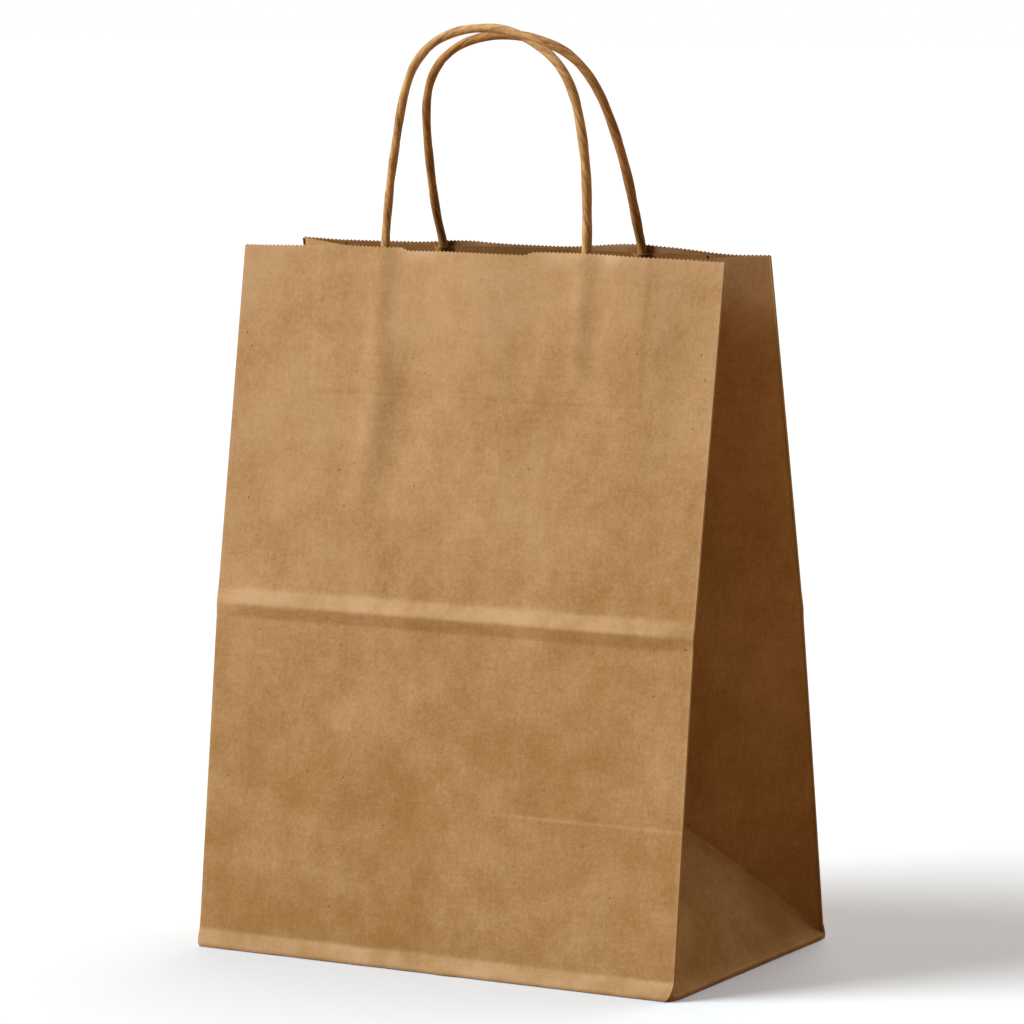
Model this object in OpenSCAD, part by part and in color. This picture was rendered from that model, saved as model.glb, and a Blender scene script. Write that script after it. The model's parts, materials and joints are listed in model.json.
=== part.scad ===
// Kraft paper gift bag with two twisted-cord handles, standing with its mouth nearly closed.
// Millimetres, +Z up, front toward -Y, right side toward +X, origin at the middle of the bottom.

/* [Bag] */
// Width of the bag across the front
bag_width = 203; // [150:1:280]
// Depth of the flat bottom, front to back
bag_depth = 121; // [80:1:160]
// Length of the panel paper from the bottom fold to the rim
panel_height = 267; // [220:1:340]
// Thickness of the kraft paper
paper = 0.25; // [0.2:0.05:0.4]

/* [Mouth] */
// Distance from the middle of the bag to the front rim
front_rim_out = 20.5; // [14:0.5:40]
// Distance from the middle of the bag to the back rim
back_rim_out = 20; // [14:0.5:40]
// Height of the crease across the panels, along the paper
crease_height = 130; // [100:1:180]
// Angle of the bend at that crease
crease_bend = 2.5; // [0:0.5:6]
// Spacing of the teeth of the cut rim
tooth_pitch = 1.7; // [1.2:0.1:4]
// Depth of the teeth of the cut rim
tooth_depth = 0.9; // [0.4:0.1:2]

/* [Handles] */
// Distance between the two legs of a handle
leg_spacing = 85; // [60:1:110]
// Height of the front handle above the rim
front_handle_height = 81; // [60:0.5:110]
// Height of the back handle above the rim
back_handle_height = 79.5; // [60:0.5:110]
// How far the handles sit to the right of the middle
handle_shift = 2.5; // [-5:0.5:5]
// Diameter of the twisted paper cord
cord_diameter = 3.6; // [2.5:0.1:5]
// How far the top of the front handle stands behind its legs
front_handle_lean = 1; // [0:0.5:6]
// How far the top of the back handle stands in front of its legs
back_handle_lean = 21; // [8:0.5:24]
// Length of cord glued inside the patch
leg_length = 46; // [30:1:60]
// Width of the handle patch
patch_width = 140; // [110:1:160]
// Height of the handle patch
patch_height = 54; // [40:1:70]

/* [Bottom and seam] */
// Reach of the front and back bottom flaps from their folds
flap_reach = 72; // [64:1:90]
// Reach of the side bottom flaps from their folds
side_flap_reach = 70; // [50:1:74]
// Width of the glued lap of the side seam
seam_lap = 16; // [10:1:25]

/* [Hidden] */
w2 = bag_width / 2;
d2 = bag_depth / 2;
half_gusset = d2;          // width of paper from a side edge to the gusset crease
hinge_y = d2 - paper / 2;  // the bottom folds, in the middle of the paper
hinge_x = w2 - paper / 2;
hinge_z = paper;
up_len = panel_height - crease_height;
start_s = 1.2;             // the panels start this far above the fold
cord_r = cord_diameter / 2;
cord_off = 1.5 * paper + cord_r + 0.12;  // cord centre inside the middle of the panel
arch_side = leg_spacing / 2 * 0.895;     // half width where the arch starts
arch_share = 0.585;        // share of a handle's height that is nearly straight leg
edge_gap = 2.2;   // gusset paper starts this far from the side edge
crease_gap = 1.2; // and stops this far from the gusset crease
slip = 0.02;

// Lean of the lower and upper half of a panel whose rim is rim_out from the middle
function lean_low(rim_out) =
    let (a = crease_height + up_len * cos(crease_bend), b = up_len * sin(crease_bend))
    asin((hinge_y - rim_out) / sqrt(a * a + b * b)) - atan2(b, a);
function lean_at(s, rim_out) = lean_low(rim_out) + (s > crease_height ? crease_bend : 0);

// Middle of the paper at distance s up the panel, as [y inward from the fold, z]
function along(s, rim_out) =
    let (a = lean_low(rim_out), b = a + crease_bend, low = min(s, crease_height),
         high = max(0, s - crease_height))
    [low * sin(a) + high * sin(b), hinge_z + low * cos(a) + high * cos(b)];
function edge_y(s, rim_out) = -hinge_y + along(s, rim_out)[0];
// y of the gusset crease, midway between the two panels
function crease_y(s) = (edge_y(s, front_rim_out) - edge_y(s, back_rim_out)) / 2;

// Angle of the gusset paper from straight back toward straight in, at distance s up the edge
function gusset_turn(s, rim_out, sign) =
    let (k = max(s, half_gusset))
    acos(min(1, (sign * crease_y(k) - edge_y(k, rim_out)) / (half_gusset * cos(lean_at(k, rim_out)))));

// A point of the gusset of the right side, front half: s up the edge, w in from it
function gusset_point(s, w, rim_out, sign) =
    let (t = gusset_turn(s, rim_out, sign), a = lean_at(s, rim_out), e = along(s, rim_out))
    [w2 - w * sin(t), -hinge_y + e[0] + w * cos(t) * cos(a), e[1] - w * cos(t) * sin(a)];

function unit(v) = v / norm(v);
function grid_normal(p, i, j) =
    let (n = len(p) - 1, m = len(p[0]) - 1)
    unit(cross(p[min(i + 1, n)][j] - p[max(i - 1, 0)][j], p[i][min(j + 1, m)] - p[i][max(j - 1, 0)]));

// A sheet of even thickness about a grid of points
module sheet(p, thick) {
    n = len(p);
    m = len(p[0]);
    k = n * m;
    top = [for (i = [0:n - 1], j = [0:m - 1]) p[i][j] + grid_normal(p, i, j) * thick / 2];
    low = [for (i = [0:n - 1], j = [0:m - 1]) p[i][j] - grid_normal(p, i, j) * thick / 2];
    upper = [for (i = [0:n - 2], j = [0:m - 2]) let (a = i * m + j)
        each [[a, a + m, a + m + 1], [a, a + m + 1, a + 1]]];
    walls = concat(
        [for (i = [0:n - 2]) let (a = i * m, b = a + m) each [[a, a + k, b + k], [a, b + k, b]]],
        [for (i = [0:n - 2]) let (a = i * m + m - 1, b = a + m) each [[b, b + k, a + k], [b, a + k, a]]],
        [for (j = [0:m - 2]) let (a = j, b = j + 1) each [[b, b + k, a + k], [b, a + k, a]]],
        [for (j = [0:m - 2]) let (a = (n - 1) * m + j, b = a + 1) each [[a, a + k, b + k], [a, b + k, b]]]);
    polyhedron(concat(top, low),
        concat([for (f = upper) [f[0], f[2], f[1]]], [for (f = upper) [f[0] + k, f[1] + k, f[2] + k]],
            [for (f = walls) [f[0], f[2], f[1]]]));
}

// Places a child drawn flat (x across, y up the paper, z outward) on the upper half of a front panel
module on_upper(rim_out) {
    e = along(crease_height, rim_out);
    translate([0, -hinge_y + e[0], e[1]])
        rotate([90 - lean_low(rim_out) - crease_bend, 0, 0]) children();
}
module on_lower(rim_out) {
    translate([0, -hinge_y, hinge_z]) rotate([90 - lean_low(rim_out), 0, 0]) children();
}
module toothed(width, height) {
    count = round(width / tooth_pitch);
    step = width / count;
    polygon(concat([[-width / 2, 0], [width / 2, 0]],
        [for (i = [count:-1:0]) each (i > 0
            ? [[-width / 2 + i * step, height - tooth_depth], [-width / 2 + (i - 0.5) * step, height]]
            : [[-width / 2, height - tooth_depth]])]));
}

// A strip of paper bent at the crease, from s0 to s1 up a front panel, its outer face `out` from the
// middle of the panel's paper, from x0 across
module strip(rim_out, s0, s1, out, x0, width) {
    a = lean_low(rim_out);
    b = a + crease_bend;
    m = a + crease_bend / 2;
    function at(s, ang, off) = let (p = along(s, rim_out)) [p[0] - off * cos(ang), p[1] + off * sin(ang)];
    k = 1 / cos(crease_bend / 2);
    in = out - paper;
    translate([x0, -hinge_y, 0]) rotate([90, 0, 90]) linear_extrude(width)
        polygon([at(s0, a, out), at(s0, a, in), at(crease_height, m, in * k), at(s1, b, in),
            at(s1, b, out), at(crease_height, m, out * k)]);
}
// A big panel, with the teeth cut in its rim
module panel(rim_out) {
    difference() {
        strip(rim_out, start_s, panel_height, paper / 2, -w2, bag_width);
        on_upper(rim_out) translate([0, up_len, -2]) linear_extrude(4) teeth_cut();
    }
}
module teeth_cut() {
    count = round(bag_width / tooth_pitch);
    step = bag_width / count;
    polygon(concat([for (i = [0:count]) each (i < count
        ? [[-w2 + i * step, -tooth_depth], [-w2 + (i + 0.5) * step, 0.01]]
        : [[w2, -tooth_depth]])], [[w2 + 1, -tooth_depth], [w2 + 1, 2], [-w2 - 1, 2],
            [-w2 - 1, -tooth_depth]]));
}
// Half of a side gusset, from a panel edge to the gusset crease, with its toothed rim
module gusset_half(rim_out, sign) {
    rows = concat([for (i = [0:4]) 4 + (half_gusset - 4) * i / 4],
        [for (i = [1:4]) half_gusset + (crease_height - half_gusset) * i / 4],
        [for (i = [1:6]) crease_height + (up_len - 1.2) * i / 6]);
    cols = 8;
    sheet([for (s = rows) [for (j = [0:cols])
        let (far = min(s, half_gusset) - crease_gap, near = min(edge_gap, far - 0.6))
        gusset_point(s, near + (far - near) * j / cols, rim_out, sign)]], paper);
    s = panel_height - 2.2;
    a = gusset_point(s, edge_gap, rim_out, sign);
    b = gusset_point(s, half_gusset - crease_gap, rim_out, sign);
    up = unit(gusset_point(s + 1, 30, rim_out, sign) - gusset_point(s, 30, rim_out, sign));
    x = unit(b - a);
    y = unit(up - x * (up * x));
    z = cross(x, y);
    mid = (a + b) / 2;
    multmatrix([[x[0], y[0], z[0], mid[0]], [x[1], y[1], z[1], mid[1]], [x[2], y[2], z[2], mid[2]]])
        translate([0, 0, -paper / 2]) linear_extrude(paper) toothed(norm(b - a), 2.2);
}
// The triangle at the bottom of a gusset, on the right side
module bottom_triangle() {
    a = lean_low((front_rim_out + back_rim_out) / 2);
    high = half_gusset * (1 - sin(a)) / cos(a);
    tilt = acos(min(1, high / half_gusset));
    inset = 0.9;
    foot = 1.2;
    translate([hinge_x, 0, hinge_z]) rotate([0, -tilt, 0]) rotate([90, 0, 90])
        translate([0, 0, -paper / 2]) linear_extrude(paper)
        polygon([[-d2 + foot + 2.4 * inset, foot], [d2 - foot - 2.4 * inset, foot],
            [0, half_gusset - 2.4 * inset]]);
}

// Path of a handle arch from the left foot to the right foot, with a lean toward the other handle
function arch_lean(h, tall, lean, power) = lean * (1 - pow(max(0, 1 - h / tall), power));
function arch_path(tall, lean, power) = let (foot = tall * arch_share, rise = tall - foot) concat(
    [for (i = [0:9]) let (h = foot * i / 10)
        [-leg_spacing / 2 + (leg_spacing / 2 - arch_side) * pow(i / 10, 1.5), arch_lean(h, tall, lean, power), h]],
    [for (i = [0:32]) let (q = 180 - 180 * i / 32, h = foot + rise * pow(sin(q), 0.95))
        [arch_side * sign(cos(q)) * pow(abs(cos(q)), 0.95), arch_lean(h, tall, lean, power), h]],
    [for (i = [9:-1:0]) let (h = foot * i / 10)
        [leg_spacing / 2 - (leg_spacing / 2 - arch_side) * pow(i / 10, 1.5), arch_lean(h, tall, lean, power), h]]);

module cord(path, r, sides) {
    n = len(path);
    rings = [for (i = [0:n - 1])
        let (t = unit(path[min(i + 1, n - 1)] - path[max(i - 1, 0)]), e = unit(cross(t, [0, 1, 0])),
            f = cross(e, t))
        [for (j = [0:sides - 1]) path[i] + r * (cos(360 * j / sides) * e + sin(360 * j / sides) * f)]];
    polyhedron([for (g = rings) each g], concat([[for (j = [0:sides - 1]) j]],
        [for (i = [0:n - 2], j = [0:sides - 1]) let (a = i * sides + j, b = i * sides + (j + 1) % sides)
            each [[a, a + sides, b + sides], [a, b + sides, b]]],
        [[for (j = [sides - 1:-1:0]) (n - 1) * sides + j]]));
}
// The free arch of a handle, from just above the rim
module handle(rim_out, tall, lean, power) {
    e = along(panel_height, rim_out);
    a = lean_at(panel_height, rim_out);
    translate([handle_shift, -hinge_y + e[0] + cord_off * cos(a) + 0.5 * sin(a),
        e[1] - cord_off * sin(a) + 0.5 * cos(a)])
        cord(arch_path(tall, lean, power), cord_r, 14);
}
// The end of the cord that is glued in the patch
module cord_end(rim_out, side) {
    on_upper(rim_out) translate([handle_shift + side * leg_spacing / 2, up_len - 0.8, -cord_off])
        rotate([90, 0, 0]) cylinder(r = cord_r, h = leg_length, $fn = 32);
}
module patch_backing(rim_out) {
    on_upper(rim_out) translate([handle_shift - patch_width / 2, up_len - 1.5 - patch_height, -1.5 * paper - slip])
        cube([patch_width, patch_height, paper]);
}
// The inner sheet of the patch, pressed down round the two cord ends
function bulge(x) = let (reach = cord_r * 3.1, q = abs(abs(x) - leg_spacing / 2))
    q < reach ? (cord_diameter + 0.3) * (0.5 + 0.5 * cos(180 * q / reach)) : 0;
function patch_xs() = concat([-patch_width / 2],
    [for (i = [-12:12]) -leg_spacing / 2 + cord_r * 3.1 * i / 12],
    [for (i = [-12:12]) leg_spacing / 2 + cord_r * 3.1 * i / 12], [patch_width / 2]);
module patch_cover(rim_out) {
    on_upper(rim_out) translate([handle_shift, up_len - 1.5, -1.5 * paper - 2 * slip]) rotate([90, 0, 0])
        linear_extrude(patch_height) polygon(concat([for (x = patch_xs()) [x, -bulge(x)]],
            [for (i = [len(patch_xs()) - 1:-1:0]) let (x = patch_xs()[i]) [x, -bulge(x) - paper]]));
}
// A flap of the folded bottom, on the front side, with its corners cut at 45 degrees
module long_flap(level, reach) {
    translate([0, 0, level * (paper + slip)]) linear_extrude(paper)
        polygon([[-w2 + 1, -d2], [w2 - 1, -d2], [w2 - reach * 0.75, -d2 + reach * 0.75],
            [w2 - reach * 0.75, -d2 + reach], [-w2 + reach * 0.75, -d2 + reach],
            [-w2 + reach * 0.75, -d2 + reach * 0.75]]);
}
// A flap of the folded bottom, on the right side
module side_flap(level) {
    cut = side_flap_reach * 0.55;
    translate([0, 0, level * (paper + slip)]) linear_extrude(paper)
        polygon([[w2, -d2 + 1], [w2, d2 - 1], [w2 - side_flap_reach + cut, d2 - 1],
            [w2 - side_flap_reach, d2 - 1 - cut], [w2 - side_flap_reach, -d2 + 1 + cut],
            [w2 - side_flap_reach + cut, -d2 + 1]]);
}

module front_panel() { color("#b29462") panel(front_rim_out); }
module back_panel() { color("#b29462") mirror([0, 1, 0]) panel(back_rim_out); }
module back_seam_lap() {
    color("#a5834f") mirror([0, 1, 0])
        strip(back_rim_out, start_s, panel_height - 1.5, -paper / 2 - slip, -w2 + 3, seam_lap);
}
module right_gusset_front() { color("#9c7a4a") gusset_half(front_rim_out, 1); }
module left_gusset_front() { color("#9c7a4a") mirror([1, 0, 0]) gusset_half(front_rim_out, 1); }
module right_gusset_back() { color("#9c7a4a") mirror([0, 1, 0]) gusset_half(back_rim_out, -1); }
module left_gusset_back() {
    color("#9c7a4a") mirror([1, 0, 0]) mirror([0, 1, 0]) gusset_half(back_rim_out, -1);
}
module right_bottom_triangle() { color("#a88552") bottom_triangle(); }
module left_bottom_triangle() { color("#a88552") mirror([1, 0, 0]) bottom_triangle(); }
module back_bottom_flap() { color("#a88552") mirror([0, 1, 0]) long_flap(0, flap_reach); }
module front_bottom_flap() { color("#b29462") long_flap(1, flap_reach); }
module right_bottom_flap() { color("#9c7a4a") side_flap(2); }
module left_bottom_flap() { color("#9c7a4a") mirror([1, 0, 0]) side_flap(2); }
module front_patch_backing() { color("#a5834f") patch_backing(front_rim_out); }
module front_patch_cover() { color("#ac8a56") patch_cover(front_rim_out); }
module front_left_cord_end() { color("#8a6236") cord_end(front_rim_out, -1); }
module front_right_cord_end() { color("#8a6236") cord_end(front_rim_out, 1); }
module front_handle_cord() { color("#b18a55") handle(front_rim_out, front_handle_height, front_handle_lean, 1.5); }
module back_patch_backing() { color("#a5834f") mirror([0, 1, 0]) patch_backing(back_rim_out); }
module back_patch_cover() { color("#ac8a56") mirror([0, 1, 0]) patch_cover(back_rim_out); }
module back_left_cord_end() { color("#8a6236") mirror([0, 1, 0]) cord_end(back_rim_out, -1); }
module back_right_cord_end() { color("#8a6236") mirror([0, 1, 0]) cord_end(back_rim_out, 1); }
module back_handle_cord() {
    color("#b18a55") mirror([0, 1, 0])
        handle(back_rim_out, back_handle_height, back_handle_lean, 1.8);
}

/* [Hidden] */

front_panel();
back_panel();
back_seam_lap();
left_gusset_front();
left_gusset_back();
right_gusset_front();
right_gusset_back();
left_bottom_triangle();
right_bottom_triangle();
front_bottom_flap();
back_bottom_flap();
left_bottom_flap();
right_bottom_flap();
front_patch_backing();
front_patch_cover();
front_left_cord_end();
front_right_cord_end();
front_handle_cord();
back_patch_backing();
back_patch_cover();
back_left_cord_end();
back_right_cord_end();
back_handle_cord();
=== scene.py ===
import json
import math

import bpy
import numpy as np
from mathutils import Matrix, Vector, noise


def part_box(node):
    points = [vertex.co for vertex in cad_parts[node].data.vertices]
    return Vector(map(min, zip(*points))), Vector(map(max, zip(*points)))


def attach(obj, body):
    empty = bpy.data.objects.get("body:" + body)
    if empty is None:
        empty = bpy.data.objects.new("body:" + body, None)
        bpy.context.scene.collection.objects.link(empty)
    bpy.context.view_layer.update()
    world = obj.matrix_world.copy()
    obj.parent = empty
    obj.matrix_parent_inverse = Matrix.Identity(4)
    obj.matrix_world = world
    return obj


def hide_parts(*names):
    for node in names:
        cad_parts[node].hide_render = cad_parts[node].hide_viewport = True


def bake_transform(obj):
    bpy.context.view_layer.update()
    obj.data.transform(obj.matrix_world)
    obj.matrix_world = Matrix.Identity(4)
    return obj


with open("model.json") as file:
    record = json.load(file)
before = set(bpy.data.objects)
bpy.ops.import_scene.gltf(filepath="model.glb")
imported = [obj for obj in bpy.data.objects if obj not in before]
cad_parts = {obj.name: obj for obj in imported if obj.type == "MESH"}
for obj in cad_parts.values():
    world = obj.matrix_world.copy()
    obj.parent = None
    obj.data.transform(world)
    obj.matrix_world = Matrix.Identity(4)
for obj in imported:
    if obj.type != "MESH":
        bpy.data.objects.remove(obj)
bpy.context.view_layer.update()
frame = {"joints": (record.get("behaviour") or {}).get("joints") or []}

bl_info = {
    "name": "Kraft Gift Bag",
    "version": (1, 0, 0),
    "blender": (4, 5, 0),
    "location": "3D View > Sidebar > Gift Bag",
    "description": "Builds the folded paper sheets, twisted cord handles and stage of a kraft gift bag",
    "category": "Object",
}

SIDES = {-1: "front", 1: "back"}
HANDS = {False: "left", True: "right"}

JOINTS = {joint["name"]: joint for joint in frame["joints"]}
PAPER_FOLD = Vector(JOINTS["front_side_opening"]["pos_m"])
RIMS = {side: Vector(JOINTS[word + "_handle_swing"]["pos_m"]) for side, word in SIDES.items()}
HALF_WIDTH = max(Vector(corner).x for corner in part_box("front_panel"))
HALF_DEPTH = -PAPER_FOLD.y
FLOOR_FOLD = PAPER_FOLD.z


# ---------------------------------------------------------------- settings

class BagSizes(bpy.types.PropertyGroup):
    """Sizes of the folded paper."""
    paper: bpy.props.FloatProperty(
        name="Paper", description="Thickness of the kraft paper as it is drawn",
        default=0.00028, min=0.0001, unit="LENGTH")
    crease_height: bpy.props.FloatProperty(
        name="Crease height", description="Length of paper from the bottom fold to the crease half way up",
        default=0.130, unit="LENGTH")
    crease_bend: bpy.props.FloatProperty(
        name="Crease bend", description="Angle between the lower and upper half of a panel",
        default=math.radians(2.5), subtype="ANGLE")
    ridge_reach: bpy.props.FloatProperty(
        name="Ridge reach", description="Half height of the ridge pressed out along the crease",
        default=0.0051, unit="LENGTH")
    ridge_rise: bpy.props.FloatProperty(
        name="Ridge rise", description="How far the ridge stands out", default=0.0019, unit="LENGTH")
    lip_height: bpy.props.FloatProperty(
        name="Lip height", description="Height of the strip that flares out at the foot of a panel",
        default=0.0064, unit="LENGTH")
    lip_flare: bpy.props.FloatProperty(
        name="Lip flare", description="How far that strip stands out at the floor",
        default=0.0020, unit="LENGTH")
    tooth_pitch: bpy.props.FloatProperty(
        name="Tooth pitch", description="Spacing of the teeth of the pinked rim",
        default=0.0017, unit="LENGTH")
    tooth_depth: bpy.props.FloatProperty(
        name="Tooth depth", description="Depth of the teeth of the pinked rim",
        default=0.0007, unit="LENGTH")
    rim_drop: bpy.props.FloatProperty(
        name="Rim drop", description="How far the worn rims lie under their full height",
        default=0.0014, unit="LENGTH")
    back_corner_in: bpy.props.FloatProperty(
        name="Back corner pinch", description="How far the right end of the back rim is pinched in",
        default=0.0025, unit="LENGTH")
    fold_return: bpy.props.FloatProperty(
        name="Fold return", description="Width of the rounded fold along the side edges of a panel",
        default=0.0010, unit="LENGTH")
    sway: bpy.props.FloatProperty(
        name="Sway", description="Size of the soft swells in the paper", default=0.0013, unit="LENGTH")


class HandleSizes(bpy.types.PropertyGroup):
    """Sizes of the twisted cord handles and their patches."""
    radius: bpy.props.FloatProperty(
        name="Cord radius", description="Radius of the twisted paper cord", default=0.00166, unit="LENGTH")
    turn: bpy.props.FloatProperty(
        name="Twist", description="Length of cord in which the paper winds once round",
        default=0.036, unit="LENGTH")
    leg_spacing: bpy.props.FloatProperty(
        name="Leg spacing", description="Distance between the legs of a handle",
        default=0.0858, unit="LENGTH")
    leg_in_patch: bpy.props.FloatProperty(
        name="Glued leg", description="Length of each leg inside the patch", default=0.046, unit="LENGTH")
    front_shift: bpy.props.FloatProperty(
        name="Front shift", description="How far the front handle sits to the right",
        default=0.0024, unit="LENGTH")
    back_shift: bpy.props.FloatProperty(
        name="Back shift", description="How far the back handle sits to the right",
        default=0.0044, unit="LENGTH")
    back_lean: bpy.props.FloatProperty(
        name="Back lean", description="How far the back handle leans toward the front one",
        default=0.0209, unit="LENGTH")
    patch_width: bpy.props.FloatProperty(
        name="Patch width", description="Width of the glued patch", default=0.140, unit="LENGTH")
    patch_height: bpy.props.FloatProperty(
        name="Patch height", description="Height of the glued patch", default=0.054, unit="LENGTH")


class BagColours(bpy.types.PropertyGroup):
    """Colours of the paper and cord."""
    kraft_light: bpy.props.FloatVectorProperty(
        name="Light kraft", description="Lighter tone of the brown paper", subtype="COLOR_GAMMA",
        size=3, min=0, max=1, default=(0.773, 0.645, 0.490))
    kraft_deep: bpy.props.FloatVectorProperty(
        name="Deep kraft", description="Deeper tone of the brown paper", subtype="COLOR_GAMMA",
        size=3, min=0, max=1, default=(0.621, 0.478, 0.273))
    # Pale tone used both for rubbing and for painted highlight along the folds and the crease ridge.
    wear_and_highlight_tone: bpy.props.FloatVectorProperty(
        name="Worn kraft", description="Paler tone where a fold has rubbed", subtype="COLOR_GAMMA",
        size=3, min=0, max=1, default=(0.835, 0.712, 0.565))
    speck: bpy.props.FloatVectorProperty(
        name="Speck", description="Dark specks in the pulp", subtype="COLOR_GAMMA",
        size=3, min=0, max=1, default=(0.36, 0.23, 0.12))
    cord_light: bpy.props.FloatVectorProperty(
        name="Light cord", description="Lighter tone of the twisted paper", subtype="COLOR_GAMMA",
        size=3, min=0, max=1, default=(0.86, 0.715, 0.505))
    cord_deep: bpy.props.FloatVectorProperty(
        name="Deep cord", description="Deeper tone of the twisted paper", subtype="COLOR_GAMMA",
        size=3, min=0, max=1, default=(0.64, 0.475, 0.275))


class StageSettings(bpy.types.PropertyGroup):
    """Camera and light."""
    azimuth: bpy.props.FloatProperty(
        name="Azimuth", description="Camera angle toward the right side of the bag",
        default=math.radians(30.14), subtype="ANGLE")
    elevation: bpy.props.FloatProperty(
        name="Elevation", description="Camera angle above the floor", default=math.radians(7.45),
        subtype="ANGLE")
    roll: bpy.props.FloatProperty(
        name="Roll", description="Camera roll", default=math.radians(-0.51), subtype="ANGLE")
    distance: bpy.props.FloatProperty(
        name="Distance", description="Camera distance", default=1.872, unit="LENGTH")
    lens: bpy.props.FloatProperty(name="Lens", description="Focal length in millimetres", default=176.1)
    aim: bpy.props.FloatVectorProperty(
        name="Aim", description="Point that the camera looks at", subtype="XYZ", unit="LENGTH",
        size=3, default=(0.0018, 0.0, 0.1641))
    key: bpy.props.FloatProperty(name="Key", description="Strength of the main light", default=3.8)
    back: bpy.props.FloatProperty(
        name="Back", description="Strength of the light from above and behind", default=1.7)
    fill: bpy.props.FloatProperty(name="Fill", description="Strength of the even light", default=0.13)


# ---------------------------------------------------------------- materials

class Value:
    """One socket of a material; arithmetic on it adds Math nodes."""

    def __init__(self, finish, socket):
        self.finish, self.socket = finish, socket

    def _math(self, operation, first, second):
        return self.finish.add("ShaderNodeMath", {"operation": operation}, [first, second])

    def __add__(self, other):
        return self._math("ADD", self, other)

    def __radd__(self, other):
        return self._math("ADD", other, self)

    def __sub__(self, other):
        return self._math("SUBTRACT", self, other)

    def __rsub__(self, other):
        return self._math("SUBTRACT", other, self)

    def __mul__(self, other):
        return self._math("MULTIPLY", self, other)

    def __rmul__(self, other):
        return self._math("MULTIPLY", other, self)

    def ramp(self, low, high):
        """0 at low and 1 at high, smooth between them."""
        return self.finish.add("ShaderNodeMapRange", {"interpolation_type": "SMOOTHSTEP", "clamp": True},
                               [self, low, high, 0.0, 1.0])


class Finish:
    """A material, or the world, that is being put together."""

    def __init__(self, holder):
        self.holder = holder
        holder.use_nodes = True
        self.tree = holder.node_tree
        self.tree.nodes.clear()

    def add(self, kind, settings=None, inputs=None, output=0):
        """A node with its settings, then the values or links of its sockets; gives one output."""
        node = self.tree.nodes.new(kind)
        for key, setting in (settings or {}).items():
            setattr(node, key, setting)
        inputs = inputs or {}
        for key, value in (inputs.items() if isinstance(inputs, dict) else enumerate(inputs)):
            if isinstance(value, Value):
                self.tree.links.new(value.socket, node.inputs[key])
            else:
                node.inputs[key].default_value = value
        return Value(self, node.outputs[output]) if node.outputs else node

    def mix(self, share, first, second):
        """The first colour, and the second one by its share."""
        return self.add("ShaderNodeMix", {"data_type": "RGBA"}, {0: share, 6: first, 7: second}, 2)

    def scaled(self, vector, sizes):
        """A place with each of its axes stretched."""
        return self.add("ShaderNodeVectorMath", {"operation": "MULTIPLY"}, [vector, sizes])

    def noise(self, vector, scale, detail=2.0, rough=0.5):
        """Soft noise from 0 to 1, with scale lumps in a metre."""
        return self.add("ShaderNodeTexNoise", {},
                        {"Vector": vector, "Scale": scale, "Detail": detail, "Roughness": rough})

    def end(self, shader, kind="ShaderNodeOutputMaterial"):
        """Close the node tree with its output node; gives the material or world."""
        self.add(kind, {}, {"Surface": shader})
        return self.holder


def linear(colour):
    """A colour as it is seen, as the numbers a shader takes."""
    return [c / 12.92 if c <= 0.04045 else ((c + 0.055) / 1.055) ** 2.4 for c in colour] + [1.0]


def shaded(colour, shade):
    """The same, with each channel deepened by its share, as painted shade."""
    return [c * k for c, k in zip(linear(colour), shade)] + [1.0]


def kraft_paper(name, shade):
    """Uncoated brown paper: mottled pulp, faint ribs, short fibres, dark specks, pale rubbing mixed with
    painted highlight, and painted light that lightens it toward the top.
    """
    colours = bpy.context.scene.bag_colours
    finish = Finish(bpy.data.materials.new(name))
    place = finish.add("ShaderNodeTexCoord", output=3)
    height = finish.add("ShaderNodeSeparateXYZ", {}, [place], output=2)
    cloud = finish.noise(place, 20.0, 3.0, 0.55)
    blotch = finish.noise(place, 85.0, 3.0, 0.62)
    ribs = finish.noise(finish.scaled(place, (700.0, 700.0, 60.0)), 1.0, 3.0, 0.7)
    laid = finish.noise(finish.scaled(place, (80.0, 80.0, 800.0)), 1.0, 3.0, 0.7)
    fibre = finish.noise(place, 640.0, 4.0, 0.75)
    grain = finish.noise(place, 1700.0, 2.0, 0.6)
    # Painted light: the height term below paints the paper lighter toward the top and deeper toward the
    # foot, as the light falls.
    tone = (cloud - 0.5) * 0.80 + (blotch - 0.5) * 0.60 + (ribs - 0.5) * 0.28 + (laid - 0.5) * 0.18
    tone = tone + (fibre - 0.5) * 0.70 + (grain - 0.5) * 0.50 + (height - 0.14) * 1.3 + 0.5
    colour = finish.mix(tone.ramp(0.0, 1.0), shaded(colours.kraft_deep, shade),
                        shaded(colours.kraft_light, shade))
    # Pale rubbing, mixed with painted highlight on the lit upper slope of the crease ridge and along the
    # folds.
    rubbed_and_lit = finish.add("ShaderNodeAttribute", {"attribute_name": "wear_and_highlight"}, output=2)
    colour = finish.mix(rubbed_and_lit * (0.6 + 0.4 * blotch.ramp(0.35, 0.60)), colour, linear(colours.wear_and_highlight_tone))
    cell = finish.add("ShaderNodeTexVoronoi", {}, {"Vector": place, "Scale": 150.0})
    odd = finish.noise(place, 61.0, 1.0)
    speck = (1.0 - cell.ramp(0.035, 0.085)) * odd.ramp(0.52, 0.60)
    small = finish.add("ShaderNodeTexVoronoi", {}, {"Vector": place, "Scale": 420.0})
    dust = (1.0 - small.ramp(0.05, 0.14)) * odd.ramp(0.62, 0.50)
    colour = finish.mix(speck * 0.65 + dust * 0.22, colour, linear(colours.speck))
    relief = fibre * 0.7 + grain * 0.45 + ribs * 0.3 + blotch * 1.8
    bump = finish.add("ShaderNodeBump", {}, {"Strength": 0.5, "Distance": 0.00022, "Height": relief})
    return finish.end(finish.add("ShaderNodeBsdfPrincipled", {}, {
        "Base Color": colour, "Roughness": 0.74 + 0.14 * fibre, "Specular IOR Level": 0.04,
        "Normal": bump}))


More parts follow.
